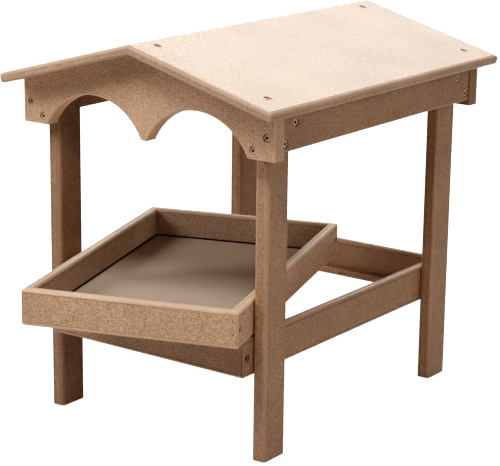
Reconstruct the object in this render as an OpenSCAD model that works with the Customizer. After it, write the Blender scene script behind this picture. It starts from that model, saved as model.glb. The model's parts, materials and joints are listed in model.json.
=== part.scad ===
// Platform bird feeder of recycled plastic boards: four legs, a low frame that a screened tray
// drops into, two arched gables and a shallow pitched roof. Millimetres, Z up.
// The tray is shown lifted out of its seat, lying askew on the low frame's rails.

/* [Boards] */
// Thickness of the legs, gables and eave rails
thick_board = 19; // [17:0.5:22]
// Thickness of the roof, low frame, tray and cleats
thin_board = 12.7; // [11:0.1:15]
// Round-over along the edges of the boards
board_round = 4.5; // [2:0.5:5]
// Round-over along the corners of the legs
leg_round = 4.8; // [2:0.2:6]
// Easing of the corners of the tray, low frame and roof, seen from above
corner_round = 1.5; // [0.5:0.1:3]
// Easing along a gable's feet, ends and arches
gable_round = 1.5; // [0.5:0.1:3]

/* [Legs] */
// Depth of a leg, front to back
leg_depth = 43; // [30:1:46]
// Distance over the front and back legs
leg_span = 427; // [380:1:520]

/* [Low frame] */
// Width over the low frame's side rails
base_width = 300; // [260:1:380]
// Height of the low frame's rails
base_height = 49; // [40:1:60]
// Height of the low frame above the ground
base_bottom = 106.5; // [60:0.5:160]
// Height of a tray cleat
cleat_height = 9.7; // [7:0.1:14]

/* [Gables] */
// Height of the gables' feet above the ground
gable_bottom = 373.3; // [330:0.1:450]
// Height of a gable at its ends
gable_end_height = 53; // [48:1:80]
// How far the gables stand out past the eave rails
gable_reveal = 2.5; // [1:0.5:6]
// Width of a gable's foot
gable_foot = 38.5; // [36:0.5:50]
// Width of the drop between the two arches
arch_drop = 8.5; // [6:0.5:20]
// Rise of the arches above the feet
arch_rise = 45.5; // [30:0.5:60]
// Height of an eave rail
eave_rail_height = 46; // [38:1:47]

/* [Roof] */
// Pitch of the roof in degrees
roof_pitch = 15.3; // [10:0.1:22]
// Overhang of the roof past the gables' ends
eave_overhang = 14.5; // [10:0.5:40]
// Overhang of the roof past the gables' faces
end_overhang = 28.5; // [10:0.5:50]

/* [Tray] */
// Height of the tray's boards
tray_height = 46; // [35:1:60]
// Clearance between the tray and the low frame, each side
tray_play = 1.3; // [1:0.1:2]
// Clearance between the tray and the low frame, each end
tray_end_play = 2.3; // [1:0.1:4]
// Turn of the tray as it lies on the rails, in degrees
tray_turn = 18.1; // [17:0.1:18.6]
// How far the tray stands out past the middle of the front legs, along its own length
tray_out = 123; // [100:0.5:140]
// Height of the screen's top above the tray's underside
screen_lift = 8; // [5:0.5:14]
// Thickness of the screen
screen_thickness = 1.2; // [0.8:0.1:2]
// Openings of the screen from side to side
screen_cells_across = 7; // [3:1:12]
// Openings of the screen from end to end
screen_cells_along = 12; // [4:1:20]
// Width of the screen's bars between its openings
screen_bar = 11; // [6:0.5:12]
// Depth of the saw kerf that holds the screen's edge
groove_depth = 5; // [3:0.5:7]
// Height of the saw kerf
groove_height = 3.2; // [2.8:0.1:4]

/* [Fixings] */
// Diameter of the screws' counterbores
bore_diameter = 10; // [9:0.5:11]
// Depth of the screws' counterbores
bore_depth = 4; // [3:0.5:6]
// Diameter of a screw's head
head_diameter = 8.4; // [7:0.1:8.8]
// Height of a screw's head
head_height = 2.6; // [2:0.1:3]
// Diameter of a screw's shank
shank_diameter = 4; // [3:0.1:4.6]
// Length of the screws in the gables, eave rails and roof
long_screw = 28; // [24:1:32]
// Length of the screws in the low frame and the tray
short_screw = 24; // [18:1:26]
// Diameter of a brad
brad_diameter = 1.6; // [1.2:0.1:2]
// Length of a brad
brad_length = 24; // [18:1:30]

/* [Hidden] */
$fn = 48;

// Colours of the plastic boards, lit top and shaded sides alike, the screen and the fixings
board_colour = [0.60, 0.46, 0.35];
roof_colour = [0.72, 0.60, 0.49];
screen_colour = [0.47, 0.41, 0.35];
steel_colour = [0.75, 0.70, 0.62];

// Both ends of a pair, left and right or front and back
ENDS = [-1, 1];
// Overshoot of a cutting tool past the face it cuts
over = 1;
// Radial clearance of a screw's or brad's shank in its hole
hole_play = 0.1;
// Length that a hole runs on past the tip of its screw or brad
tip_play = 0.5;
// Width of the square recess in a screw's head
drive_width = 3.4;
// Depth of the square recess in a screw's head
drive_depth = 1.8;

// Half width over the legs, which stand outside the low frame
leg_out = base_width / 2 + thick_board;
// Middle of a leg, across and along
leg_x = base_width / 2 + thick_board / 2;
leg_y = leg_span / 2 - leg_depth / 2;
// Length of the low frame, flush with the gables' faces
base_length = leg_span + 2 * thick_board;
base_top = base_bottom + base_height;
base_middle = base_bottom + base_height / 2;

// Gable and roof outline
gable_width = base_width + 4 * thick_board + 2 * gable_reveal;
gable_y = leg_span / 2 + thick_board / 2;
gable_end_top = gable_bottom + gable_end_height;
gable_peak = gable_end_top + gable_width / 2 * tan(roof_pitch);
arch_half = (gable_width / 2 - gable_foot - arch_drop / 2) / 2;
arch_x = arch_drop / 2 + arch_half;
arch_radius = (arch_half * arch_half + arch_rise * arch_rise) / (2 * arch_rise);
arch_z = gable_bottom + arch_rise - arch_radius;

// Eave rails lie on the outer faces of the legs, with their top under the roof
eave_gap = 0.3;
eave_rail_top = gable_peak - (leg_out + thick_board) * tan(roof_pitch) - eave_gap;
eave_rail_bottom = eave_rail_top - eave_rail_height;
eave_rail_x = leg_out + thick_board / 2;

// Roof panels meet at the ridge, whose top edge is roof_top high
roof_top = gable_peak + thin_board / cos(roof_pitch);
roof_half_width = gable_width / 2 + eave_overhang;
roof_slope_length = roof_half_width / cos(roof_pitch);
roof_length = base_length + 2 * end_overhang;

// The tray drops into the low frame, and at rest lies on top of its rails
rest_gap = 0.3;
tray_width = base_width - 2 * thin_board - 2 * tray_play;
tray_length = base_length - 2 * thin_board - 2 * tray_end_play;
tray_reach = tray_length / 2 - tray_out;
tray_bottom = base_top + rest_gap;
groove_play = 0.3;
screen_play = 0.6;
screen_width = tray_width - 2 * thin_board + 2 * groove_depth - 2 * screen_play;
screen_length = tray_length - 2 * thin_board + 2 * groove_depth - 2 * screen_play;
screen_round = 2;
screen_pitch_across = (tray_width - 2 * thin_board) / screen_cells_across;
screen_pitch_along = (tray_length - 2 * thin_board) / screen_cells_along;

// Places of the fixings
gable_leg_screw_lift = 10;
gable_rail_screw_lift = 27;
eave_screw_near = [7, 10];
eave_screw_far = [27, 32];
ridge_screw = 15;
eave_screw = 33;
leg_screw_spread = 12;
corner_screw_inset = 8.5;
corner_brad_inset = 7;
tray_brad_heights = [17, 34];
cleat_brad_places = [-0.38, 0, 0.38];

// Moves the model so that its origin is the middle of the front left foot
module row() {
    translate([leg_x, leg_y, 0]) children();
}

// Rectangle about the origin with rounded corners
module round_rect(width, height, radius) {
    square([width - 2 * radius, height], center = true);
    square([width, height - 2 * radius], center = true);
    for (x = ENDS, y = ENDS)
        translate([x * (width / 2 - radius), y * (height / 2 - radius)]) circle(radius);
}

// Board along X, its long edges rounded over, centred
module board_x(length, thickness, height, radius) {
    rotate([90, 0, 90])
        translate([0, 0, -length / 2])
            linear_extrude(length) round_rect(thickness, height, radius);
}

// Board along Y, its long edges rounded over, centred
module board_y(length, thickness, height, radius) {
    rotate([0, 0, 90]) board_x(length, thickness, height, radius);
}

// Screw standing on its seat: the head above z = 0 with a square recess, the shank below
module screw(length) {
    difference() {
        union() {
            cylinder(d = head_diameter, h = head_height);
            translate([0, 0, -length]) cylinder(d = shank_diameter, h = length + head_height / 2);
        }
        translate([0, 0, head_height - drive_depth / 2 + over / 2])
            cube([drive_width, drive_width, drive_depth + over], center = true);
    }
}

// Counterbore and hole for such a screw
module screw_hole(length) {
    cylinder(d = bore_diameter, h = bore_depth + over);
    translate([0, 0, -length - tip_play])
        cylinder(d = shank_diameter + 2 * hole_play, h = length + tip_play + over);
}

// Brad whose head end is at z = 0, and its hole
module brad() {
    translate([0, 0, -brad_length]) cylinder(d = brad_diameter, h = brad_length);
}

module brad_hole() {
    translate([0, 0, -brad_length - tip_play])
        cylinder(d = brad_diameter + 2 * hole_play, h = brad_length + tip_play + over);
}

// Turns children so that their +Z points out of a face: +X or -X, +Y or -Y
module face_x(side) {
    rotate([0, side * 90, 0]) children();
}

module face_y(side) {
    rotate([-side * 90, 0, 0]) children();
}

// Screws from a low side rail's inner face out into a leg
module at_leg_screws(x, y) {
    for (z = ENDS)
        translate([x * (base_width / 2 - thin_board + bore_depth), y * leg_y, base_middle + z * leg_screw_spread])
            face_x(-x) children();
}

// Screw from a low side rail's outer face into the end of the front or back rail
module at_base_corner_screw(x, y) {
    translate([x * (base_width / 2 - bore_depth), y * (base_length / 2 - corner_screw_inset), base_middle])
        face_x(x) children();
}

// Screws through a gable's foot: the outer into the eave rail's end, the inner into the leg
module at_gable_rail_screw(x, y) {
    translate([x * eave_rail_x, y * (base_length / 2 - bore_depth), gable_bottom + gable_rail_screw_lift])
        face_y(y) children();
}

module at_gable_leg_screw(x, y) {
    translate([x * leg_x, y * (base_length / 2 - bore_depth), gable_bottom + gable_leg_screw_lift])
        face_y(y) children();
}

// Two screws through the end of an eave rail into a leg, given by run from the end and lift
module at_eave_rail_screws(x, y) {
    for (place = [eave_screw_near, eave_screw_far])
        translate([x * (leg_out + thick_board - bore_depth), y * (leg_span / 2 - place[0]),
                   eave_rail_bottom + place[1]])
            face_x(x) children();
}

// Two screws through a roof panel into a gable's sloping top, square to the panel
module at_roof_screws(x, y) {
    on_slope(x)
        for (run = [ridge_screw, roof_slope_length - eave_screw])
            translate([x * run, y * gable_y, -bore_depth]) children();
}

// Puts children on a roof panel's slope: X runs out from the ridge's top edge, Z is square to the panel
module on_slope(x) {
    translate([0, 0, roof_top]) rotate([0, x * roof_pitch, 0]) children();
}

// Leg with the holes of the screws that hold it
module leg(x, y) {
    color(board_colour) row() difference() {
        translate([x * leg_x, y * leg_y, 0])
            linear_extrude(eave_rail_top) round_rect(thick_board, leg_depth, leg_round);
        at_leg_screws(x, y) screw_hole(short_screw);
        at_gable_leg_screw(x, y) screw_hole(long_screw);
        at_eave_rail_screws(x, y) screw_hole(long_screw);
    }
}

module leg_front_left() { leg(-1, -1); }
module leg_front_right() { leg(1, -1); }
module leg_back_left() { leg(-1, 1); }
module leg_back_right() { leg(1, 1); }

// Plan of one board of a mitred frame, on the side that faces -Y
module mitre_plan(length, thickness) {
    polygon([[-length / 2, 0], [length / 2, 0],
             [length / 2 - thickness, thickness], [-length / 2 + thickness, thickness]]);
}

// End board (across X) of a mitred frame about the origin, standing on z = 0
module end_board(width, length, height, y) {
    intersection() {
        translate([0, y * (length - thin_board) / 2, height / 2])
            board_x(width, thin_board, height, board_round);
        scale([1, -y, 1]) translate([0, -length / 2, -over])
            linear_extrude(height + 2 * over) mitre_plan(width, thin_board);
        translate([0, 0, -over]) linear_extrude(height + 2 * over) round_rect(width, length, corner_round);
    }
}

// Side board (along Y) of the same frame
module side_board(width, length, height, x) {
    rotate([0, 0, x * 90]) end_board(length, width, height, -1);
}

// Low frame: the side rails carry the holes of the leg screws and corner screws
module base_end_rail(y) {
    color(board_colour) row() difference() {
        translate([0, 0, base_bottom]) end_board(base_width, base_length, base_height, y);
        for (x = ENDS) at_base_corner_screw(x, y) screw_hole(short_screw);
        at_cleat_brads(y) brad_hole();
    }
}

module base_side_rail(x) {
    color(board_colour) row() difference() {
        translate([0, 0, base_bottom]) side_board(base_width, base_length, base_height, x);
        for (y = ENDS) {
            at_base_corner_screw(x, y) screw_hole(short_screw);
            at_leg_screws(x, y) screw_hole(short_screw);
        }
    }
}

module base_rail_front() { base_end_rail(-1); }
module base_rail_back() { base_end_rail(1); }
module base_rail_left() { base_side_rail(-1); }
module base_rail_right() { base_side_rail(1); }

// Cleat along the bottom of an end rail's inner face, on which the tray's end sits
cleat_length = base_width - 2 * thin_board - 2 * tray_play;
cleat_y = base_length / 2 - thin_board * 3 / 2;
cleat_round = 2.5;

module at_cleat_brads(y) {
    for (share = cleat_brad_places)
        translate([share * cleat_length, y * (cleat_y - thin_board / 2), base_bottom + cleat_height / 2])
            face_y(-y) children();
}

module tray_cleat(y) {
    color(board_colour) row() difference() {
        translate([0, y * cleat_y, base_bottom + cleat_height / 2])
            board_x(cleat_length, thin_board, cleat_height, cleat_round);
        at_cleat_brads(y) brad_hole();
    }
}

module tray_cleat_front() { tray_cleat(-1); }
module tray_cleat_back() { tray_cleat(1); }

// Round-over cutter for the arris of an arch: a ring of the corner outside a quarter round
module arch_round_cutter() {
    rotate_extrude() difference() {
        translate([arch_radius - over, -over]) square([gable_round + over, gable_round + over]);
        translate([arch_radius + gable_round, gable_round]) circle(gable_round);
    }
}

// Outline of a gable in X and Z: two arches with a flat drop between them, feet at the ends
module gable_outline() {
    difference() {
        polygon([[-gable_width / 2, gable_bottom], [gable_width / 2, gable_bottom],
                 [gable_width / 2, gable_end_top], [0, gable_peak], [-gable_width / 2, gable_end_top]]);
        for (x = ENDS) translate([x * arch_x, arch_z]) circle(arch_radius);
    }
}

// Gable board: eased along its feet, ends and arches
module gable_blank() {
    gable_height = gable_peak - gable_bottom;
    intersection() {
        rotate([90, 0, 0]) translate([0, 0, -thick_board / 2]) linear_extrude(thick_board) gable_outline();
        translate([0, 0, gable_bottom + gable_height])
            board_x(gable_width + 2 * over, thick_board, 2 * gable_height, gable_round);
        linear_extrude(gable_peak + over) round_rect(gable_width, thick_board, gable_round);
    }
}

module gable(y) {
    color(board_colour) row() difference() {
        translate([0, y * gable_y, 0]) gable_blank();
        for (x = ENDS) {
            for (side = ENDS)
                translate([x * arch_x, y * gable_y + side * thick_board / 2, arch_z])
                    rotate([side * 90, 0, 0]) arch_round_cutter();
            at_gable_rail_screw(x, y) screw_hole(long_screw);
            at_gable_leg_screw(x, y) screw_hole(long_screw);
            at_roof_screws(x, y) screw_hole(long_screw);
        }
    }
}

module gable_front() { gable(-1); }
module gable_back() { gable(1); }

// Eave rail between the gables, on the outer faces of the legs
eave_rail_round = 2;

module eave_rail(x) {
    color(board_colour) row() difference() {
        translate([x * eave_rail_x, 0, eave_rail_bottom + eave_rail_height / 2])
            board_y(leg_span, thick_board, eave_rail_height, eave_rail_round);
        for (y = ENDS) {
            at_gable_rail_screw(x, y) screw_hole(long_screw);
            at_eave_rail_screws(x, y) screw_hole(long_screw);
        }
    }
}

module eave_rail_left() { eave_rail(-1); }
module eave_rail_right() { eave_rail(1); }

// Roof panel: mitred at the ridge, its eave and ends rounded over, its corners eased
module roof_panel(x) {
    reach = roof_slope_length;
    color(roof_colour) row() difference() {
        on_slope(x) scale([x, 1, 1]) intersection() {
            translate([0, roof_length / 2, 0]) rotate([90, 0, 0]) linear_extrude(roof_length) difference() {
                translate([0, -thin_board / 2]) round_rect(2 * reach, thin_board, board_round);
                polygon([[-reach - over, over], [-over * tan(roof_pitch), over],
                         [(thin_board + over) * tan(roof_pitch), -thin_board - over],
                         [-reach - over, -thin_board - over]]);
            }
            translate([reach / 2, 0, -thin_board / 2])
                board_x(2 * reach, roof_length, thin_board, board_round);
            translate([0, 0, -thin_board - over])
                linear_extrude(thin_board + 2 * over) round_rect(2 * reach, roof_length, corner_round);
        }
        for (y = ENDS) at_roof_screws(x, y) screw_hole(long_screw);
    }
}

module roof_panel_left() { roof_panel(-1); }
module roof_panel_right() { roof_panel(1); }

// Puts the tray where it lies: askew on the low frame's rails, out between the front legs
module tray_place() {
    translate([0, -leg_y, tray_bottom]) rotate([0, 0, tray_turn]) translate([0, tray_reach, 0]) children();
}

// Screw from a tray side board into the end of an end board, and brads the other way
module at_tray_corner_screw(x, y) {
    translate([x * (tray_width / 2 - bore_depth), y * (tray_length / 2 - corner_screw_inset), tray_height / 2])
        face_x(x) children();
}

module at_tray_brads(x, y) {
    for (z = tray_brad_heights)
        translate([x * (tray_width / 2 - corner_brad_inset), y * tray_length / 2, z])
            face_y(y) children();
}

// Saw kerf round the inside of the tray's boards, with the screen at its bottom
module screen_groove() {
    translate([0, 0, screen_lift - screen_thickness - groove_play + groove_height / 2])
        cube([tray_width - 2 * thin_board + 2 * groove_depth, tray_length - 2 * thin_board + 2 * groove_depth,
              groove_height], center = true);
}

module tray_end_board(y) {
    color(board_colour) row() tray_place() difference() {
        end_board(tray_width, tray_length, tray_height, y);
        screen_groove();
        for (x = ENDS) {
            at_tray_corner_screw(x, y) screw_hole(short_screw);
            at_tray_brads(x, y) brad_hole();
        }
    }
}

module tray_side_board(x) {
    color(board_colour) row() tray_place() difference() {
        side_board(tray_width, tray_length, tray_height, x);
        screen_groove();
        for (y = ENDS) {
            at_tray_corner_screw(x, y) screw_hole(short_screw);
            at_tray_brads(x, y) brad_hole();
        }
    }
}

module tray_board_front() { tray_end_board(-1); }
module tray_board_back() { tray_end_board(1); }
module tray_board_left() { tray_side_board(-1); }
module tray_board_right() { tray_side_board(1); }

// Screen with its edge in the kerf, a plain grid of openings inside the boards
module tray_screen() {
    color(screen_colour) row() tray_place()
        translate([0, 0, screen_lift - screen_thickness]) linear_extrude(screen_thickness) difference() {
            round_rect(screen_width, screen_length, screen_round);
            for (i = [1:screen_cells_across], j = [1:screen_cells_along])
                translate([(i - (screen_cells_across + 1) / 2) * screen_pitch_across,
                           (j - (screen_cells_along + 1) / 2) * screen_pitch_along])
                    square([screen_pitch_across - screen_bar, screen_pitch_along - screen_bar], center = true);
        }
}

module leg_screws() {
    color(steel_colour) row() for (x = ENDS, y = ENDS) at_leg_screws(x, y) screw(short_screw);
}

module base_corner_screws() {
    color(steel_colour) row() for (x = ENDS, y = ENDS) at_base_corner_screw(x, y) screw(short_screw);
}

module cleat_brads() {
    color(steel_colour) row() for (y = ENDS) at_cleat_brads(y) brad();
}

module gable_screws() {
    color(steel_colour) row() for (x = ENDS, y = ENDS) {
        at_gable_rail_screw(x, y) screw(long_screw);
        at_gable_leg_screw(x, y) screw(long_screw);
    }
}

module eave_rail_screws() {
    color(steel_colour) row() for (x = ENDS, y = ENDS) at_eave_rail_screws(x, y) screw(long_screw);
}

module roof_screws() {
    color(steel_colour) row() for (x = ENDS, y = ENDS) at_roof_screws(x, y) screw(long_screw);
}

module tray_corner_screws() {
    color(steel_colour) row() tray_place()
        for (x = ENDS, y = ENDS) at_tray_corner_screw(x, y) screw(short_screw);
}

module tray_brads() {
    color(steel_colour) row() tray_place() for (x = ENDS, y = ENDS) at_tray_brads(x, y) brad();
}

leg_front_left();
leg_front_right();
leg_back_left();
leg_back_right();
base_rail_front();
base_rail_back();
base_rail_left();
base_rail_right();
tray_cleat_front();
tray_cleat_back();
gable_front();
gable_back();
eave_rail_left();
eave_rail_right();
roof_panel_left();
roof_panel_right();
tray_board_front();
tray_board_back();
tray_board_left();
tray_board_right();
tray_screen();
leg_screws();
base_corner_screws();
cleat_brads();
gable_screws();
eave_rail_screws();
roof_screws();
tray_corner_screws();
tray_brads();
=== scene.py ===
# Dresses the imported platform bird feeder: brown plastic lumber with a stippled skin and routed edges,
# a woven screen in the tray, and coated screws and brads. Metres, in the frame of the solids.
import json
import math

import bmesh
import bpy
from mathutils import Matrix, Vector


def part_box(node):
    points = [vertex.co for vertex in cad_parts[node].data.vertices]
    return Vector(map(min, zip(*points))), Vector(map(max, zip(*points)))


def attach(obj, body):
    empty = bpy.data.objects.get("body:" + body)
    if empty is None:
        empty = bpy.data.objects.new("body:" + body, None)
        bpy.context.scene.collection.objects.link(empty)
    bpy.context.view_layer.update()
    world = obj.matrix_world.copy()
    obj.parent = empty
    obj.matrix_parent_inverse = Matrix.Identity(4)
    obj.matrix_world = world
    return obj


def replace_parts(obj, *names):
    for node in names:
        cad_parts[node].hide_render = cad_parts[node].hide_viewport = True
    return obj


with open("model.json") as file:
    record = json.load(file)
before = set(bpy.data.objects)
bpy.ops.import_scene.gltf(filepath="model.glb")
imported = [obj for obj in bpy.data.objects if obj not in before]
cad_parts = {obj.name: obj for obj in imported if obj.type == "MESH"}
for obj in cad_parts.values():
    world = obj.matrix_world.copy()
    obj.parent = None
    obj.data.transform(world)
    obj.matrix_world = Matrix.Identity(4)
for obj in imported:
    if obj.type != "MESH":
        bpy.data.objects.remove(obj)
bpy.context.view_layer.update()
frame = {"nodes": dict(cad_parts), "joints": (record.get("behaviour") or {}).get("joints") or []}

# Camera: a long lens to the right of the front gable that looks down by about 15 degrees, so that the
# roof's top, the front gable, the right side and most of the tray show. It was solved from the photograph.
camera_turn = math.radians(35.739)
camera_rise = math.radians(14.833)
camera_roll = math.radians(0.744)
camera_distance = 2.3743
camera_target = Vector((0.14982, 0.192, 0.21085))
lens_mm = 130.28

to_camera = Vector((math.sin(camera_turn) * math.cos(camera_rise),
                    -math.cos(camera_turn) * math.cos(camera_rise),
                    math.sin(camera_rise)))
level_right = Vector((math.cos(camera_turn), math.sin(camera_turn), 0))
level_up = to_camera.cross(level_right)
rolled_right = level_right * math.cos(camera_roll) + level_up * math.sin(camera_roll)
rolled_up = level_up * math.cos(camera_roll) - level_right * math.sin(camera_roll)
camera_place = Matrix((rolled_right, rolled_up, to_camera)).transposed().to_4x4()
camera_place.translation = camera_target + to_camera * camera_distance

camera_data = bpy.data.cameras.new("camera")
camera_data.sensor_fit = "HORIZONTAL"
camera_data.sensor_width = 36
camera_data.lens = lens_mm
camera_data.clip_start = 0.05
camera_data.clip_end = 100
camera = bpy.data.objects.new("camera", camera_data)
camera.matrix_world = camera_place
bpy.context.scene.collection.objects.link(camera)
bpy.context.scene.camera = camera


# Stage: a white table that fills the view, lit like a product shot. One softbox stands to the left and
# one high in front, two weak ones to the right, and a wide strong one behind gives the roof its sheen.
floor_reach = 14
floor_white = (0.68, 0.68, 0.68, 1)
floor_seen = 0.98
floor_bounce = 0.0
room_light = 0.02
room_seen = 1.0


def place(tree, kind, inputs=None, **settings):
    """Adds a shader node, sets its settings, and fills its inputs with values or other nodes' outputs."""
    node = tree.nodes.new(kind)
    for name, value in settings.items():
        setattr(node, name, value)
    for name, value in (inputs or {}).items():
        if isinstance(value, bpy.types.NodeSocket):
            tree.links.new(value, node.inputs[name])
        else:
            node.inputs[name].default_value = value
    return node


def noise(tree, spot, scale, detail, roughness=0.5):
    """Noise at a spot, mostly between 0.2 and 0.8."""
    inputs = {"Vector": spot, "Scale": scale, "Detail": detail, "Roughness": roughness}
    return place(tree, "ShaderNodeTexNoise", inputs).outputs["Fac"]


def remap(tree, value, low, high, first=0.0, last=1.0, curve="LINEAR"):
    """Takes a value from between low and high to between first and last, and stops at these."""
    inputs = {"Value": value, "From Min": low, "From Max": high, "To Min": first, "To Max": last}
    return place(tree, "ShaderNodeMapRange", inputs, interpolation_type=curve).outputs["Result"]


def multiply(tree, one, other):
    """Product of two values."""
    return place(tree, "ShaderNodeMath", {0: one, 1: other}, operation="MULTIPLY").outputs[0]


def mix_values(tree, share, one, other):
    """Value that goes from one to the other as the share goes from 0 to 1."""
    return place(tree, "ShaderNodeMix", {0: share, 2: one, 3: other}, data_type="FLOAT").outputs[0]


def mix_colours(tree, share, one, other, mode="MIX"):
    """Colour that goes from one to the other as the share goes from 0 to 1."""
    inputs = {0: share, 6: one, 7: other}
    return place(tree, "ShaderNodeMix", inputs, data_type="RGBA", blend_type=mode).outputs[2]


def new_piece(name, mesh, body, material):
    """Makes a piece of a finished bmesh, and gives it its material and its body."""
    data = bpy.data.meshes.new(name)
    mesh.to_mesh(data)
    mesh.free()
    piece = bpy.data.objects.new(name, data)
    bpy.context.scene.collection.objects.link(piece)
    data.materials.append(material)
    if body:
        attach(piece, body)
    return piece


floor_material = bpy.data.materials.new("white sweep")
floor_material.use_nodes = True
tree = floor_material.node_tree
tree.nodes.clear()
paper = place(tree, "ShaderNodeBsdfDiffuse", {"Color": floor_white})
to_eye = place(tree, "ShaderNodeLightPath").outputs["Is Camera Ray"]
glow_strength = mix_values(tree, to_eye, floor_bounce, floor_seen)
glow = place(tree, "ShaderNodeEmission", {"Color": (1, 1, 1, 1), "Strength": glow_strength})
both = place(tree, "ShaderNodeAddShader", {0: paper.outputs[0], 1: glow.outputs[0]})
place(tree, "ShaderNodeOutputMaterial", {"Surface": both.outputs[0]})

floor_mesh = bmesh.new()
bmesh.ops.create_grid(floor_mesh, x_segments=4, y_segments=4, size=floor_reach)
new_piece("floor", floor_mesh, None, floor_material)

world = bpy.data.worlds.new("room")
world.use_nodes = True
tree = world.node_tree
to_eye = place(tree, "ShaderNodeLightPath").outputs["Is Camera Ray"]
background = tree.nodes["Background"]
background.inputs["Color"].default_value = (1, 1, 1, 1)
tree.links.new(mix_values(tree, to_eye, room_light, room_seen), background.inputs["Strength"])
bpy.context.scene.world = world


def hang_softbox(name, turn, rise, distance, width, height, watts):
    """Hangs a softbox at a turn from straight in front (to the right) and a rise, aimed at the feeder."""
    turn = math.radians(turn)
    rise = math.radians(rise)
    towards = Vector((math.sin(turn) * math.cos(rise), -math.cos(turn) * math.cos(rise), math.sin(rise)))
    light = bpy.data.lights.new(name, "AREA")
    light.shape = "RECTANGLE"
    light.size = width
    light.size_y = height
    light.energy = watts
    softbox = bpy.data.objects.new(name, light)
    softbox.location = camera_target + towards * distance
    softbox.rotation_euler = towards.to_track_quat("Z", "Y").to_euler()
    bpy.context.scene.collection.objects.link(softbox)


hang_softbox("left softbox", turn=-50, rise=34, distance=2.3, width=0.9, height=0.9, watts=24)
hang_softbox("front softbox", turn=14, rise=57, distance=2.3, width=0.9, height=0.7, watts=28)
hang_softbox("side softbox", turn=80, rise=20, distance=2.5, width=1.2, height=1.2, watts=9)
hang_softbox("rear right softbox", turn=120, rise=35, distance=2.4, width=1.0, height=1.0, watts=4.5)
hang_softbox("back softbox", turn=205, rise=36, distance=2.4, width=1.6, height=1.2, watts=41)


# Picture: plain colours under a photographic tone curve, with deep shadows and bright middle tones. The
# logarithm of the tone is that of the light times tone_slope, less its square times tone_bend.
tone_slope = 0.535
tone_bend = 0.1708

view = bpy.context.scene.view_settings
view.view_transform = "Standard"
view.look = "None"
view.exposure = 0
view.gamma = 1
view.use_curve_mapping = True
tone = view.curve_mapping.curves[3]
for light in (0.02, 0.05, 0.10, 0.20, 0.30, 0.40, 0.55, 0.70, 0.85):
    log_light = math.log(light)
    tone.points.new(light, math.exp(tone_slope * log_light - tone_bend * log_light ** 2))
view.curve_mapping.update()


# Legs: four uprights of 3/4 in plastic lumber with routed corners, standing on their sawn ends.
# A router leaves a fine quirk where a large round-over meets the flat, and a smoother, streaked surface
# on the round-over itself, while the flats keep the pebbled skin that the mould gives the lumber.
board_colour = (0.380, 0.224, 0.138, 1)
board_pit_colour = (0.190, 0.104, 0.058, 1)
board_fleck_colour = (0.56, 0.41, 0.30, 1)
# Lit and shaded copies of the board plastic: the paler one is painted light and the darker one painted shade
lit_pale_colour = (0.66, 0.400, 0.253, 1)
lit_pale_pit_colour = (0.265, 0.146, 0.083, 1)
lit_pale_fleck_colour = (0.72, 0.53, 0.39, 1)
shaded_dark_colour = (0.295, 0.172, 0.104, 1)
shaded_dark_pit_colour = (0.160, 0.088, 0.049, 1)
# Painted highlight: paler colours for the upward rims and tops of the boards
rim_highlight_colour = (0.64, 0.46, 0.325, 1)
rim_highlight_pit_colour = (0.52, 0.355, 0.24, 1)

quirk_width = 0.0007
quirk_depth = 0.0005
# Painted shade at the bottom of the quirk grooves: the share of the colour that is left there
quirk_painted_shade = 0.12
arris_width = 0.00025
least_round = 0.003
least_run = 0.01
streak_squeeze = 0.96
arch_inner = -0.001
arch_outer = 0.006

# What tells flats, round-overs and arrises of a solid apart, and points that are in the same place
weld_distance = 0.000001
cut_tolerance = 0.000002
level_tolerance = 0.0001
levels_per_metre = 20000
merge_bend = math.radians(0.5)
flat_slope = math.radians(0.8)
run_out_bend = math.radians(12)
arris_bend = math.radians(30)
shading_bend = math.radians(32)
straight_lean = 0.985
same_facing = 0.9999


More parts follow.
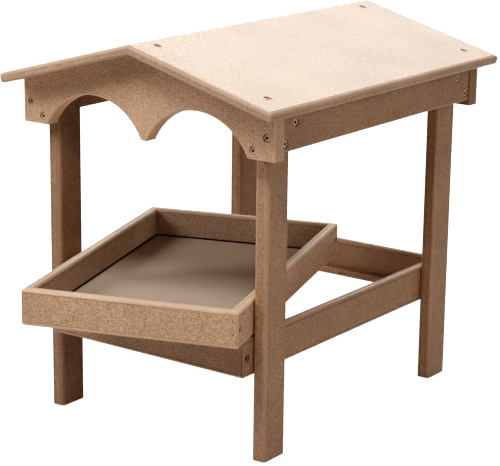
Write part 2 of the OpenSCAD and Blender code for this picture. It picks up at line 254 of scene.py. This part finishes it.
def stippled_skin():
    """Group that gives plastic lumber its pebbled skin, flecks, clouds, routed streaks, and painted shade in
    its quirks.
    """
    group = bpy.data.node_groups.new("stippled skin", "ShaderNodeTree")
    for label in ("Plastic", "Pits", "Flecks"):
        group.interface.new_socket(label, in_out="INPUT", socket_type="NodeSocketColor")
    for label in ("Stipple Scale", "Stipple Contrast"):
        group.interface.new_socket(label, in_out="INPUT", socket_type="NodeSocketFloat")
    group.interface.new_socket("Colour", in_out="OUTPUT", socket_type="NodeSocketColor")
    for label in ("Roughness", "Height"):
        group.interface.new_socket(label, in_out="OUTPUT", socket_type="NodeSocketFloat")
    given = place(group, "NodeGroupInput").outputs
    spot = place(group, "ShaderNodeTexCoord").outputs["Object"]
    routed = place(group, "ShaderNodeAttribute", attribute_name="routed").outputs["Fac"]
    quirk = place(group, "ShaderNodeAttribute", attribute_name="quirk").outputs["Fac"]
    grain = place(group, "ShaderNodeAttribute", attribute_name="grain").outputs["Vector"]

    # Pebbles with pits between them on the flats, and streaks along the router's way on the round-overs
    pebbles = noise(group, spot, given["Stipple Scale"], detail=2.5, roughness=0.6)
    raised = remap(group, pebbles, 0.40, 0.60, curve="SMOOTHSTEP")
    tooling = noise(group, grain, scale=620.0, detail=3.0, roughness=0.6)
    streaks = remap(group, tooling, 0.3, 0.7)
    surface = mix_values(group, routed, raised, streaks)

    # Colour: pits dark and pebbles light, more so on the skin than where it is routed away
    depth = mix_values(group, routed, 1.0, 0.45)
    strength = multiply(group, depth, given["Stipple Contrast"])
    pit_share = remap(group, surface, 0.0, 1.0, first=1.0, last=0.0)
    pitted = mix_colours(group, multiply(group, pit_share, strength), given["Plastic"], given["Pits"])
    speck = noise(group, spot, scale=260.0, detail=1.0)
    light_speck = remap(group, speck, 0.68, 0.76, last=0.4, curve="SMOOTHSTEP")
    dark_speck = remap(group, speck, 0.27, 0.33, first=0.5, last=0.0, curve="SMOOTHSTEP")
    lit = mix_colours(group, light_speck, pitted, given["Flecks"])
    flecked = mix_colours(group, dark_speck, lit, given["Pits"])

    # Clouds of paler and darker stock, and painted shade in the quirks
    cloud = noise(group, spot, scale=11.0, detail=4.0, roughness=0.55)
    shade = remap(group, cloud, 0.3, 0.7, first=0.90, last=1.10)
    # Painted shade: the colour is darkened at the bottom of each quirk groove
    hollow_painted_shade = remap(group, quirk, 0.0, 1.0, first=1.0, last=quirk_painted_shade)
    toned = multiply(group, shade, hollow_painted_shade)
    tint = place(group, "ShaderNodeCombineColor", {0: toned, 1: toned, 2: toned}).outputs[0]
    colour = mix_colours(group, 1.0, flecked, tint, mode="MULTIPLY")

    # Height in parts of the bump's distance, and a little less gloss in the pits
    height = multiply(group, surface, mix_values(group, routed, 1.0, 0.3))
    roughness = remap(group, surface, 0.0, 1.0, first=0.62, last=0.48)
    place(group, "NodeGroupOutput", {"Colour": colour, "Roughness": roughness, "Height": height})
    return group


def plastic_lumber(name, plastic, pits, flecks, stipple_scale, contrast, relief, top_lit_colours=(), sheen=0.3):
    """Material of one shade of the plastic lumber, with its skin's relief in metres. The three top-lit
    colours are painted on faces turned up to the sky, a painted highlight from the light above, and sheen
    gives the level of the gloss."""
    material = bpy.data.materials.new(name)
    material.use_nodes = True
    tree = material.node_tree
    skin = place(tree, "ShaderNodeGroup", {"Plastic": plastic, "Pits": pits, "Flecks": flecks,
                                           "Stipple Scale": stipple_scale, "Stipple Contrast": contrast},
                 node_tree=skin_group)
    if top_lit_colours:
        # Painted highlight: faces turned up to the sky take the paler colours
        facing = place(tree, "ShaderNodeNewGeometry").outputs["True Normal"]
        rise = place(tree, "ShaderNodeSeparateXYZ", {0: facing}).outputs["Z"]
        top_light_share = remap(tree, rise, 0.80, 0.95)
        for label, shaded, top_lit in zip(("Plastic", "Pits", "Flecks"), (plastic, pits, flecks), top_lit_colours):
            tree.links.new(mix_colours(tree, top_light_share, shaded, top_lit), skin.inputs[label])
    bump = place(tree, "ShaderNodeBump", {"Strength": 1.0, "Distance": relief,
                                          "Height": skin.outputs["Height"]})
    finish = tree.nodes["Principled BSDF"]
    tree.links.new(skin.outputs["Colour"], finish.inputs["Base Color"])
    tree.links.new(skin.outputs["Roughness"], finish.inputs["Roughness"])
    tree.links.new(bump.outputs["Normal"], finish.inputs["Normal"])
    finish.inputs["Specular IOR Level"].default_value = sheen
    return material


def square_way(turn, way):
    """Which of a board's own three directions a way is nearest to, and its part along it."""
    own = turn.transposed() @ way
    part = max(range(3), key=lambda index: abs(own[index]))
    return part, own[part]


def nearest_square(turn, way):
    """The board's own square direction that a way is nearest to."""
    part, lean = square_way(turn, way)
    return turn.col[part] * (1 if lean > 0 else -1)


def is_flat(turn, face):
    """Whether a face is square to its board, so that the router has left its skin."""
    return abs(square_way(turn, face.normal)[1]) > math.cos(flat_slope)


def run_out_lines(board, turn, quirk_above):
    """Lines where a large round-over runs out into a flat: a spot on each, the flat's facing and the way
    across it. Only flats whose rise, the height of their normal, is above quirk_above are taken."""
    lines = {}
    for edge in board.edges:
        if len(edge.link_faces) != 2 or edge.calc_length() < least_run:
            continue
        one, other = edge.link_faces
        bend = edge.calc_face_angle(0)
        if is_flat(turn, one) == is_flat(turn, other) or not 0 < bend < run_out_bend:
            continue
        flat, rounded = (one, other) if is_flat(turn, one) else (other, one)
        radius = rounded.calc_area() / edge.calc_length() / bend
        if radius > least_round and flat.normal.z > quirk_above:
            middle = (edge.verts[0].co + edge.verts[1].co) / 2
            facing = nearest_square(turn, flat.normal)
            across = nearest_square(turn, facing.cross(edge.verts[1].co - edge.verts[0].co))
            if across.dot(rounded.calc_center_median() - middle) > 0:
                across.negate()
            level = (round(middle.dot(across), 4), round(middle.dot(facing), 4))
            lines[tuple(across) + level] = (middle, facing, across)
    return list(lines.values())


def cut_quirks(board, lines, width):
    """Cuts a groove of a width into the flat along each line, and marks its bottom for painted shade."""
    bottom = board.verts.layers.float.new("quirk")
    for middle, facing, across in lines:
        for reach in (width, width / 2):
            faces = [face for face in board.faces if face.normal.dot(facing) > same_facing
                     and abs(facing.dot(face.calc_center_median() - middle)) < level_tolerance]
            parts = dict.fromkeys(part for face in faces for part in (face, *face.edges, *face.verts))
            bmesh.ops.bisect_plane(board, geom=list(parts), dist=weld_distance,
                                   plane_co=middle + across * reach, plane_no=across)
        for corner in board.verts:
            off = corner.co - middle
            if abs(off.dot(across) - width / 2) < cut_tolerance and abs(off.dot(facing)) < level_tolerance:
                corner.co -= facing * quirk_depth
                corner[bottom] = 1.0


def refill_flats(board, turn):
    """Fills each flat anew between its outline and the rims of its holes. Flats that are all triangles
    and quads stay as they are."""
    bmesh.ops.dissolve_degenerate(board, dist=cut_tolerance, edges=board.edges)
    flats = {}
    for face in board.faces:
        if is_flat(turn, face):
            part, lean = square_way(turn, face.normal)
            level = round(face.calc_center_median().dot(face.normal) * levels_per_metre)
            flats.setdefault((part, lean > 0, level), []).append(face)
    for (part, outward, level), faces in flats.items():
        if max(len(face.verts) for face in faces) < 5:
            continue
        members = set(faces)
        edges = dict.fromkeys(edge for face in faces for edge in face.edges)
        bridges = [edge for edge in edges if all(face in members for face in edge.link_faces)]
        outline = [edge for edge in edges if not all(face in members for face in edge.link_faces)]
        facing = turn.col[part] * (1 if outward else -1)
        bmesh.ops.delete(board, geom=faces, context="FACES_ONLY")
        bmesh.ops.delete(board, geom=bridges, context="EDGES_FACES")
        bmesh.ops.triangle_fill(board, use_beauty=True, use_dissolve=False, edges=outline, normal=facing)


def mark_grain(board, turn, arches):
    """Marks routed faces, and gives the streaks their own coordinates: squeezed along a straight
    round-over, and bent round with an arch."""
    routed = board.faces.layers.float.new("routed")
    grain = board.loops.layers.float_vector.new("grain")
    for face in board.faces:
        face[routed] = 0.0 if is_flat(turn, face) else 1.0
        longest = max(face.edges, key=lambda edge: edge.calc_length())
        part, lean = square_way(turn, (longest.verts[1].co - longest.verts[0].co).normalized())
        along = turn.col[part] if abs(lean) > straight_lean else Vector()
        middle = face.calc_center_median()
        bend = None
        for arch_x, arch_z, radius in arches:
            off = math.hypot(middle.x - arch_x, middle.z - arch_z) - radius
            if arch_inner < off < arch_outer and middle.z > arch_z and not is_flat(turn, face):
                bend = (arch_x, arch_z, radius)
        for corner in face.loops:
            spot = corner.vert.co
            if bend:
                swing = math.atan2(spot.x - bend[0], spot.z - bend[1]) * bend[2]
                reach = math.hypot(spot.x - bend[0], spot.z - bend[1])
                corner[grain] = (swing * (1 - streak_squeeze), reach, spot.y)
            else:
                corner[grain] = spot - along * (spot.dot(along) * streak_squeeze)


def machined_board(node, turn=Matrix.Identity(3), quirk=quirk_width, quirk_above=-2.0, arches=()):
    """Copy of a board's solid, with a quirk cut beside each large round-over and its arrises eased.
    turn is the board's own square directions, and arches are the axes (x, z) and radius of round cuts.
    quirk is a quirk's width, and all flats get them unless quirk_above is higher than -1."""
    board = bmesh.new()
    board.from_mesh(frame["nodes"][node].data)
    bmesh.ops.remove_doubles(board, verts=board.verts, dist=weld_distance)
    bmesh.ops.dissolve_limit(board, angle_limit=merge_bend, verts=board.verts, edges=board.edges)
    lines = run_out_lines(board, turn, quirk_above) if quirk else []
    arrises = [edge for edge in board.edges
               if len(edge.link_faces) == 2 and edge.calc_face_angle_signed(0) > arris_bend]
    bmesh.ops.bevel(board, geom=arrises, offset=arris_width, offset_type="OFFSET", segments=2, profile=0.5,
                    affect="EDGES", material=-1)
    cut_quirks(board, lines, quirk)
    refill_flats(board, turn)
    mark_grain(board, turn, arches)
    for face in board.faces:
        face.smooth = True
    for edge in board.edges:
        if len(edge.link_faces) == 2:
            one, other = edge.link_faces
            alike = is_flat(turn, one) == is_flat(turn, other)
            edge.smooth = alike and edge.calc_face_angle(0) < shading_bend
    return board


skin_group = stippled_skin()
board_plastic = plastic_lumber("brown plastic lumber", board_colour, board_pit_colour, board_fleck_colour,
                               stipple_scale=500.0, contrast=0.6, relief=0.0003)
shaded_dark_plastic = plastic_lumber("darker plastic lumber, painted shade", shaded_dark_colour, shaded_dark_pit_colour, board_fleck_colour,
                              stipple_scale=500.0, contrast=0.6, relief=0.0003)
lit_pale_plastic = plastic_lumber("paler plastic lumber, painted light", lit_pale_colour, lit_pale_pit_colour, lit_pale_fleck_colour,
                              stipple_scale=640.0, contrast=0.75, relief=0.0004,
                              top_lit_colours=(rim_highlight_colour, rim_highlight_pit_colour, lit_pale_fleck_colour))


def fit_board(node, body, material=board_plastic, slot="boards", **cuts):
    """Puts a machined board in the place of its solid."""
    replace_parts(new_piece(node + "_dressed", machined_board(node, **cuts), body, material), node)


# The front left leg takes the darker copy, which is painted shade.
fit_board("leg_front_left", "shelter", shaded_dark_plastic)
for leg in ("leg_front_right", "leg_back_left", "leg_back_right"):
    fit_board(leg, "shelter")


# Low frame: four rails of 1/2 in plastic lumber, mitred at the corners and routed along their edges.
# The side rails are screwed out into the legs, and the corners are screwed from the sides.
for rail in ("base_rail_front", "base_rail_back", "base_rail_left", "base_rail_right"):
    fit_board(rail, "shelter")


# Cleats: two strips bradded along the bottom of the end rails, on which the tray's ends sit when it
# is dropped in. They are of the same plastic, with small round-overs and no quirks.
for cleat in ("tray_cleat_front", "tray_cleat_back"):
    fit_board(cleat, "shelter", quirk=0)


# Gables: one board each, with two arches struck from one radius and a short drop between them. Their edges
# are lightly eased. The front one takes the paler copy of the plastic, which is painted light, and the back
# one the darker copy, which is painted shade.
gable_low, gable_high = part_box("gable_front")
gable_middle = (gable_low.x + gable_high.x) / 2
arch_offset = 0.07813
arch_height = 0.33608
arch_radius = 0.08272
gable_arches = [(gable_middle - arch_offset, arch_height, arch_radius),
                (gable_middle + arch_offset, arch_height, arch_radius)]
fit_board("gable_front", "shelter", lit_pale_plastic, quirk=0, arches=gable_arches)
fit_board("gable_back", "shelter", shaded_dark_plastic, quirk=0, arches=gable_arches)


# Eave rails: plain boards with lightly eased edges, outside the legs and between the gables, each
# held by two screws into every leg and one from every gable.
for eave in ("eave_rail_left", "eave_rail_right"):
    fit_board(eave, "shelter", quirk=0)


# Roof: two panels of 1/2 in lumber, mitred at the ridge, routed along their eaves and ends, and eased at
# their corners. Their upward faces are painted paler than the boards below, a painted sheen from the light
# above, and have a little more gloss.
roof_pitch = math.radians(15.3)
roof_quirk_width = 0.0008
roof_quirk_above = 0.5
edge_colour = (0.43, 0.262, 0.163, 1)
# Painted sheen: the roof's upward faces take these paler colours
roof_sheen_colour = (0.76, 0.505, 0.335, 1)
roof_sheen_pit_colour = (0.50, 0.320, 0.205, 1)
roof_sheen_fleck_colour = (0.84, 0.66, 0.52, 1)
roof_plastic = plastic_lumber("roof plastic lumber with painted sheen", edge_colour, board_pit_colour, board_fleck_colour,
                              stipple_scale=600.0, contrast=0.7, relief=0.0003,
                              top_lit_colours=(roof_sheen_colour, roof_sheen_pit_colour, roof_sheen_fleck_colour), sheen=0.5)
for side, panel in ((-1, "roof_panel_left"), (1, "roof_panel_right")):
    fit_board(panel, "shelter", roof_plastic, "roof_boards", turn=Matrix.Rotation(side * roof_pitch, 3, "Y"),
              quirk=roof_quirk_width, quirk_above=roof_quirk_above)


# Tray: four boards of 1/2 in lumber, mitred, screwed and bradded, and routed along their edges. It lies
# askew on the low frame, and its joint's axis gives the way that it points.
# Painted light: the back and left boards, seen from inside the tray, are painted paler and greyer for bounce
# light and gloss
tray_inner_lit_colour = (0.46, 0.320, 0.230, 1)
tray_out = Vector(frame["joints"][0]["axis"]).normalized()
tray_angle = math.atan2(tray_out.x, -tray_out.y)
tray_turn = Matrix.Rotation(tray_angle, 3, "Z")
tray_inner_lit_plastic = plastic_lumber("tray plastic lumber, painted lighter", tray_inner_lit_colour, board_pit_colour, board_fleck_colour,
                              stipple_scale=420.0, contrast=0.4, relief=0.0003,
                              top_lit_colours=(rim_highlight_colour, rim_highlight_pit_colour, lit_pale_fleck_colour))
# The front and right boards take the paler copy, which is painted light.
for board in ("tray_board_front", "tray_board_right"):
    fit_board(board, "tray", lit_pale_plastic, turn=tray_turn)
for board in ("tray_board_back", "tray_board_left"):
    fit_board(board, "tray", tray_inner_lit_plastic, turn=tray_turn)


# Screen: a woven wire cloth that holds the seed, its edge pressed into the kerf of the tray's boards. Its
# wires are laid as two crossing layers, which touch, and a near-black painted shadow darkens them beside the
# boards.
wire_diameter = 0.00058
wire_sides = 4
wire_pitch = 0.0010
layer_lift = 0.45 * wire_diameter
screen_edge = 0.0009
rim_shade_width = 0.0022
cloth_colour = (0.305, 0.225, 0.168, 1)
dusty_colour = (0.350, 0.262, 0.199, 1)
rim_shade_colour = (0.02, 0.014, 0.010, 1)

screen_low, screen_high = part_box("tray_screen")
screen_middle = (screen_low + screen_high) / 2


def tray_spots(node):
    """A solid's points from the middle of the screen, in the tray's own square directions."""
    points = frame["nodes"][node].data.vertices
    return [tray_turn.transposed() @ (point.co - screen_middle) for point in points]


half_across = max(spot.x for spot in tray_spots("tray_screen")) - screen_edge
half_along = max(spot.y for spot in tray_spots("tray_screen")) - screen_edge
open_across = min(abs(spot.x) for spot in tray_spots("tray_board_left"))
open_along = min(abs(spot.y) for spot in tray_spots("tray_board_front"))

screen_metal = bpy.data.materials.new("bronzed wire cloth")
screen_metal.use_nodes = True
tree = screen_metal.node_tree
spot = place(tree, "ShaderNodeTexCoord").outputs["Object"]
dust = noise(tree, spot, scale=35.0, detail=4.0, roughness=0.6)
dusty = mix_colours(tree, dust, cloth_colour, dusty_colour)
offset = place(tree, "ShaderNodeVectorMath", {0: spot, 1: screen_middle}, operation="SUBTRACT")
level = place(tree, "ShaderNodeVectorRotate", {"Vector": offset.outputs["Vector"], "Angle": tray_angle},
              rotation_type="Z_AXIS", invert=True)
reach = place(tree, "ShaderNodeVectorMath", {0: level.outputs["Vector"]}, operation="ABSOLUTE")
sides = place(tree, "ShaderNodeSeparateXYZ", {0: reach.outputs["Vector"]})
# Painted shadow: a near-black band along the inner faces of the boards
beside = remap(tree, sides.outputs["X"], open_across - rim_shade_width, open_across)
behind = remap(tree, sides.outputs["Y"], open_along - rim_shade_width, open_along)
rim_shadow_share = place(tree, "ShaderNodeMath", {0: beside, 1: behind}, operation="MAXIMUM").outputs[0]
finish = tree.nodes["Principled BSDF"]
tree.links.new(mix_colours(tree, rim_shadow_share, dusty, rim_shade_colour), finish.inputs["Base Color"])
finish.inputs["Roughness"].default_value = 0.55
finish.inputs["Specular IOR Level"].default_value = 0.15


def stretch_wires(cloth, count, half_spread, half_length, across, height):
    """Lays straight wires side by side in one layer of the cloth."""
    for index in range(count):
        offset = -half_spread + 2 * half_spread * index / (count - 1)
        lie = Matrix.Rotation(math.radians(90), 4, "Y" if across else "X")
        shift = Matrix.Translation((0, offset, height) if across else (offset, 0, height))
        bmesh.ops.create_cone(cloth, segments=wire_sides, radius1=wire_diameter / 2,
                              radius2=wire_diameter / 2, depth=2 * half_length, cap_ends=True,
                              matrix=shift @ lie)


cloth = bmesh.new()
stretch_wires(cloth, round(2 * half_across / wire_pitch) + 1, half_across, half_along, False, -layer_lift)
stretch_wires(cloth, round(2 * half_along / wire_pitch) + 1, half_along, half_across, True, layer_lift)
bmesh.ops.transform(cloth, matrix=Matrix.Translation(screen_middle) @ tray_turn.to_4x4(), verts=cloth.verts)
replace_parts(new_piece("tray_screen_cloth", cloth, "tray", screen_metal), "tray_screen")


# Screws: coated pan heads with a square recess, at the bottom of their counterbores. The coating is tan in
# the gables and cream in the eave rails and roof. Elsewhere a dark brown copy of it is painted shade. All
# are worn in places, with painted shade in the recess.
tan_coat = (0.46, 0.29, 0.19, 1)
tan_worn = (0.58, 0.40, 0.28, 1)
tan_recess_shade = (0.26, 0.16, 0.10, 1)
cream_coat = (0.62, 0.46, 0.33, 1)
cream_worn = (0.74, 0.60, 0.46, 1)
# A darker copy of the coating, which is painted shade, for screws in shaded places
shaded_brown_coat = (0.20, 0.13, 0.085, 1)
shaded_brown_worn = (0.30, 0.21, 0.145, 1)
recess_shade_colour = (0.035, 0.026, 0.020, 1)
head_round = 0.0007
recess_ease = 0.0002
recess_edge = 0.002
rim_edge = 0.001
head_bend = math.radians(60)
head_shading_bend = math.radians(35)


def coated_steel(name, coat, worn, hollow_painted_shade):
    """Material of a screw's coating, worn in patches, with painted shade where the recess attribute is set.
    """
    material = bpy.data.materials.new(name)
    material.use_nodes = True
    tree = material.node_tree
    spot = place(tree, "ShaderNodeTexCoord").outputs["Object"]
    recess = place(tree, "ShaderNodeAttribute", attribute_name="recess").outputs["Fac"]
    wear = noise(tree, spot, scale=520.0, detail=3.0, roughness=0.6)
    clean = mix_colours(tree, remap(tree, wear, 0.45, 0.62), coat, worn)
    finish = tree.nodes["Principled BSDF"]
    # Painted shade: the recess faces take the dark colour
    tree.links.new(mix_colours(tree, recess, clean, hollow_painted_shade), finish.inputs["Base Color"])
    tree.links.new(remap(tree, wear, 0.3, 0.7, first=0.5, last=0.38), finish.inputs["Roughness"])
    finish.inputs["Metallic"].default_value = 0.15
    return material


def eased_fastener(node, rim_round):
    """Copy of a group of fasteners, with the rims of their heads rounded and their recesses eased. The
    edges of a recess are longer than recess_edge, and the facets of a round rim shorter than rim_edge."""
    steel = bmesh.new()
    steel.from_mesh(frame["nodes"][node].data)
    bmesh.ops.remove_doubles(steel, verts=steel.verts, dist=weld_distance)
    bmesh.ops.dissolve_limit(steel, angle_limit=merge_bend, verts=steel.verts, edges=steel.edges)
    sharp = [edge for edge in steel.edges if edge.calc_face_angle_signed(0) > head_bend]
    recess = [edge for edge in sharp if edge.calc_length() > recess_edge]
    rims = [edge for edge in sharp if edge.calc_length() < rim_edge]
    sunk = steel.faces.layers.float.new("recess")
    walls = {face for edge in recess for face in edge.link_faces if len(face.verts) == 4}
    for wall in walls:
        for edge in wall.edges:
            if edge not in recess:
                for face in edge.link_faces:
                    face[sunk] = 1.0
    bmesh.ops.bevel(steel, geom=recess, offset=recess_ease, offset_type="OFFSET", segments=1, profile=0.5,
                    affect="EDGES", material=-1)
    rims = [edge for edge in rims if edge.is_valid]
    bmesh.ops.bevel(steel, geom=rims, offset=rim_round, offset_type="OFFSET", segments=3, profile=0.5,
                    affect="EDGES", material=-1)
    for face in steel.faces:
        face.smooth = True
    for edge in steel.edges:
        edge.smooth = len(edge.link_faces) == 2 and edge.calc_face_angle(0) < head_shading_bend
    return steel


def fit_fasteners(node, body, material, rim_round):
    """Puts eased fasteners in the place of their solids."""
    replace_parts(new_piece(node + "_dressed", eased_fastener(node, rim_round), body, material), node)


tan_screws = coated_steel("tan screw coating", tan_coat, tan_worn, tan_recess_shade)
cream_screws = coated_steel("cream screw coating", cream_coat, cream_worn, recess_shade_colour)
shaded_brown_screws = coated_steel("browned screw coating, painted shade", shaded_brown_coat, shaded_brown_worn, recess_shade_colour)
fit_fasteners("gable_screws", "shelter", tan_screws, head_round)
for screws in ("eave_rail_screws", "roof_screws"):
    fit_fasteners(screws, "shelter", cream_screws, head_round)
for screws in ("leg_screws", "base_corner_screws"):
    fit_fasteners(screws, "shelter", shaded_brown_screws, head_round)
fit_fasteners("tray_corner_screws", "tray", shaded_brown_screws, head_round)


# Brads: plain steel pins driven flush, dulled and dark beside the plastic. A lone one in the front
# gable's right foot shows its head as a small dark dot.
brad_round = 0.0001
brad_colour = (0.045, 0.035, 0.028, 1)
tarnish_colour = (0.12, 0.10, 0.08, 1)
pin_radius = 0.0009
pin_length = 0.004
pin_proud = 0.00005
pin_sides = 20
pin_offset = 0.1757
pin_height = 0.4145

brad_steel = bpy.data.materials.new("dull brad ends")
brad_steel.use_nodes = True
tree = brad_steel.node_tree
spot = place(tree, "ShaderNodeTexCoord").outputs["Object"]
dulled = mix_colours(tree, noise(tree, spot, scale=900.0, detail=2.0), brad_colour, tarnish_colour)
finish = tree.nodes["Principled BSDF"]
tree.links.new(dulled, finish.inputs["Base Color"])
finish.inputs["Roughness"].default_value = 0.6
finish.inputs["Metallic"].default_value = 0.4
fit_fasteners("cleat_brads", "shelter", brad_steel, brad_round)
fit_fasteners("tray_brads", "tray", brad_steel, brad_round)

pin = bmesh.new()
pin_middle = Vector((gable_middle + pin_offset, gable_low.y + pin_length / 2 - pin_proud, pin_height))
bmesh.ops.create_cone(pin, segments=pin_sides, radius1=pin_radius, radius2=pin_radius, depth=pin_length,
                      cap_ends=True,
                      matrix=Matrix.Translation(pin_middle) @ Matrix.Rotation(math.radians(90), 4, "X"))
new_piece("gable_pin", pin, "shelter", brad_steel)
